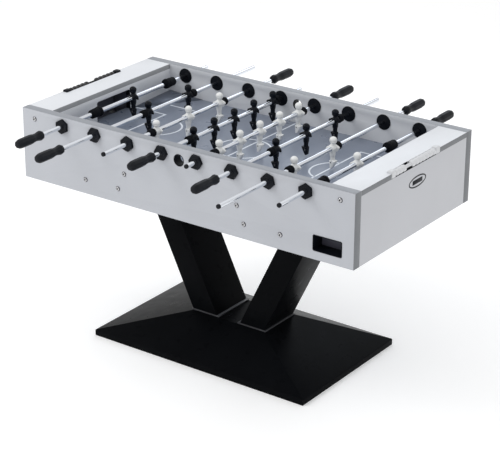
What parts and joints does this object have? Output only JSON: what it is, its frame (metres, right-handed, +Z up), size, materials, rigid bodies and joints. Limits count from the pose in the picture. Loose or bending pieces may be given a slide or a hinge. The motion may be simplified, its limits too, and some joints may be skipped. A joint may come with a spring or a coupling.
{
  "type": "foosball table",
  "caption": "Foosball table with sliding and spinning player rods, goals, ball returns and score beads on a V-shaped pedestal base.",
  "frame": {"origin": "on the floor, under the middle of the table, at the centre of the base", "axes": "+X along the length of the playfield towards the white goal, +Y towards the back, where the white handles are, +Z up"},
  "size_m": [1.4408, 1.31, 0.8874],
  "materials": {
    "panel_laminate": "satin light grey laminate",
    "board_laminate": "satin white laminate with grey edging",
    "field_laminate": "printed blue-grey playing surface",
    "framing_board": "bare board",
    "grey_plastic": "matte moulded",
    "black_plastic": "fine moulded grain",
    "rod_chrome": "polished",
    "black_player": "satin moulded",
    "white_player": "satin moulded",
    "bumper_rubber": "matte",
    "handle_plastic": "ribbed moulded grip",
    "screw_nickel": "nickel plated",
    "black_paint": "satin powder coat",
    "bolt_steel": "zinc plated",
    "black_bead": "gloss",
    "white_bead": "gloss"
  },
  "bodies": {
    "cabinet": {"ball_chutes": "grey_plastic", "ball_liners": "black_plastic", "base_plate": "black_paint", "base_shell": "black_paint", "battens_and_cleats": "framing_board", "bearing_bushes": "black_plastic", "bearing_nuts": "black_plastic", "bottom_panel": "panel_laminate", "corner_ramps": "field_laminate", "end_panels": "panel_laminate", "frame_bolts": "bolt_steel", "goal_boxes": "grey_plastic", "goal_walls": "panel_laminate", "leg_beams": "framing_board", "leg_left": "black_paint", "leg_plates": "black_paint", "leg_right": "black_paint", "panel_screws": "screw_nickel", "playfield": "field_laminate", "return_cups": "black_plastic", "score_rails": "black_plastic", "side_panel_back": "panel_laminate", "side_panel_front": "panel_laminate", "top_boards": "board_laminate"},
    "rod_1_slider": {"bumpers_1": "bumper_rubber"},
    "rod_1_spinner": {"rod_1": "rod_chrome", "men_1": "black_player", "handle_1": "handle_plastic"},
    "rod_2_slider": {"bumpers_2": "bumper_rubber"},
    "rod_2_spinner": {"rod_2": "rod_chrome", "men_2": "black_player", "handle_2": "handle_plastic"},
    "rod_3_slider": {"bumpers_3": "bumper_rubber"},
    "rod_3_spinner": {"rod_3": "rod_chrome", "men_3": "white_player", "handle_and_cap_3": "handle_plastic"},
    "rod_4_slider": {"bumpers_4": "bumper_rubber"},
    "rod_4_spinner": {"rod_4": "rod_chrome", "men_4": "black_player", "handle_4": "handle_plastic"},
    "rod_5_slider": {"bumpers_5": "bumper_rubber"},
    "rod_5_spinner": {"rod_5": "rod_chrome", "men_5": "white_player", "handle_and_cap_5": "handle_plastic"},
    "rod_6_slider": {"bumpers_6": "bumper_rubber"},
    "rod_6_spinner": {"rod_6": "rod_chrome", "men_6": "black_player", "handle_6": "handle_plastic"},
    "rod_7_slider": {"bumpers_7": "bumper_rubber"},
    "rod_7_spinner": {"rod_7": "rod_chrome", "men_7": "white_player", "handle_and_cap_7": "handle_plastic"},
    "rod_8_slider": {"bumpers_8": "bumper_rubber"},
    "rod_8_spinner": {"rod_8": "rod_chrome", "men_8": "white_player", "handle_and_cap_8": "handle_plastic"},
    "score_beads_left_front": {"score_beads_left_front": "black_bead"},
    "score_beads_left_back": {"score_beads_left_back": "black_bead"},
    "score_beads_right_front": {"score_beads_right_front": "white_bead"},
    "score_beads_right_back": {"score_beads_right_back": "white_bead"}
  },
  "joints": [
    {"name": "rod_1_slide", "type": "slide", "parent": "cabinet", "child": "rod_1_slider", "axis": [0, 1, 0], "range_m": [-0.1172, 0.0732]},
    {"name": "rod_1_spin", "type": "hinge", "parent": "rod_1_slider", "child": "rod_1_spinner", "pos_m": [-0.525, 0, 0.8465], "axis": [0, 1, 0], "continuous": true},
    {"name": "rod_2_slide", "type": "slide", "parent": "cabinet", "child": "rod_2_slider", "axis": [0, 1, 0], "range_m": [-0.2249, 0.1349]},
    {"name": "rod_2_spin", "type": "hinge", "parent": "rod_2_slider", "child": "rod_2_spinner", "pos_m": [-0.375, 0, 0.8465], "axis": [0, 1, 0], "continuous": true},
    {"name": "rod_3_slide", "type": "slide", "parent": "cabinet", "child": "rod_3_slider", "axis": [0, 1, 0], "range_m": [-0.0809, 0.1429]},
    {"name": "rod_3_spin", "type": "hinge", "parent": "rod_3_slider", "child": "rod_3_spinner", "pos_m": [-0.225, 0, 0.8465], "axis": [0, 1, 0], "continuous": true},
    {"name": "rod_4_slide", "type": "slide", "parent": "cabinet", "child": "rod_4_slider", "axis": [0, 1, 0], "range_m": [-0.1039, 0.0099]},
    {"name": "rod_4_spin", "type": "hinge", "parent": "rod_4_slider", "child": "rod_4_spinner", "pos_m": [-0.075, 0, 0.8465], "axis": [0, 1, 0], "continuous": true},
    {"name": "rod_5_slide", "type": "slide", "parent": "cabinet", "child": "rod_5_slider", "axis": [0, 1, 0], "range_m": [-0.0509, 0.0629]},
    {"name": "rod_5_spin", "type": "hinge", "parent": "rod_5_slider", "child": "rod_5_spinner", "pos_m": [0.075, 0, 0.8465], "axis": [0, 1, 0], "continuous": true},
    {"name": "rod_6_slide", "type": "slide", "parent": "cabinet", "child": "rod_6_slider", "axis": [0, 1, 0], "range_m": [-0.1789, 0.0449]},
    {"name": "rod_6_spin", "type": "hinge", "parent": "rod_6_slider", "child": "rod_6_spinner", "pos_m": [0.225, 0, 0.8465], "axis": [0, 1, 0], "continuous": true},
    {"name": "rod_7_slide", "type": "slide", "parent": "cabinet", "child": "rod_7_slider", "axis": [0, 1, 0], "range_m": [-0.0699, 0.2899]},
    {"name": "rod_7_spin", "type": "hinge", "parent": "rod_7_slider", "child": "rod_7_spinner", "pos_m": [0.375, 0, 0.8465], "axis": [0, 1, 0], "continuous": true},
    {"name": "rod_8_slide", "type": "slide", "parent": "cabinet", "child": "rod_8_slider", "axis": [0, 1, 0], "range_m": [-0.0242, 0.1662]},
    {"name": "rod_8_spin", "type": "hinge", "parent": "rod_8_slider", "child": "rod_8_spinner", "pos_m": [0.525, 0, 0.8465], "axis": [0, 1, 0], "continuous": true},
    {"name": "score_left_front_slide", "type": "slide", "parent": "cabinet", "child": "score_beads_left_front", "axis": [0, 1, 0], "range_m": [0, 0.0371]},
    {"name": "score_left_back_slide", "type": "slide", "parent": "cabinet", "child": "score_beads_left_back", "axis": [0, 1, 0], "range_m": [-0.0371, 0]},
    {"name": "score_right_front_slide", "type": "slide", "parent": "cabinet", "child": "score_beads_right_front", "axis": [0, 1, 0], "range_m": [0, 0.0371]},
    {"name": "score_right_back_slide", "type": "slide", "parent": "cabinet", "child": "score_beads_right_back", "axis": [0, 1, 0], "range_m": [-0.0371, 0]}
  ]
}
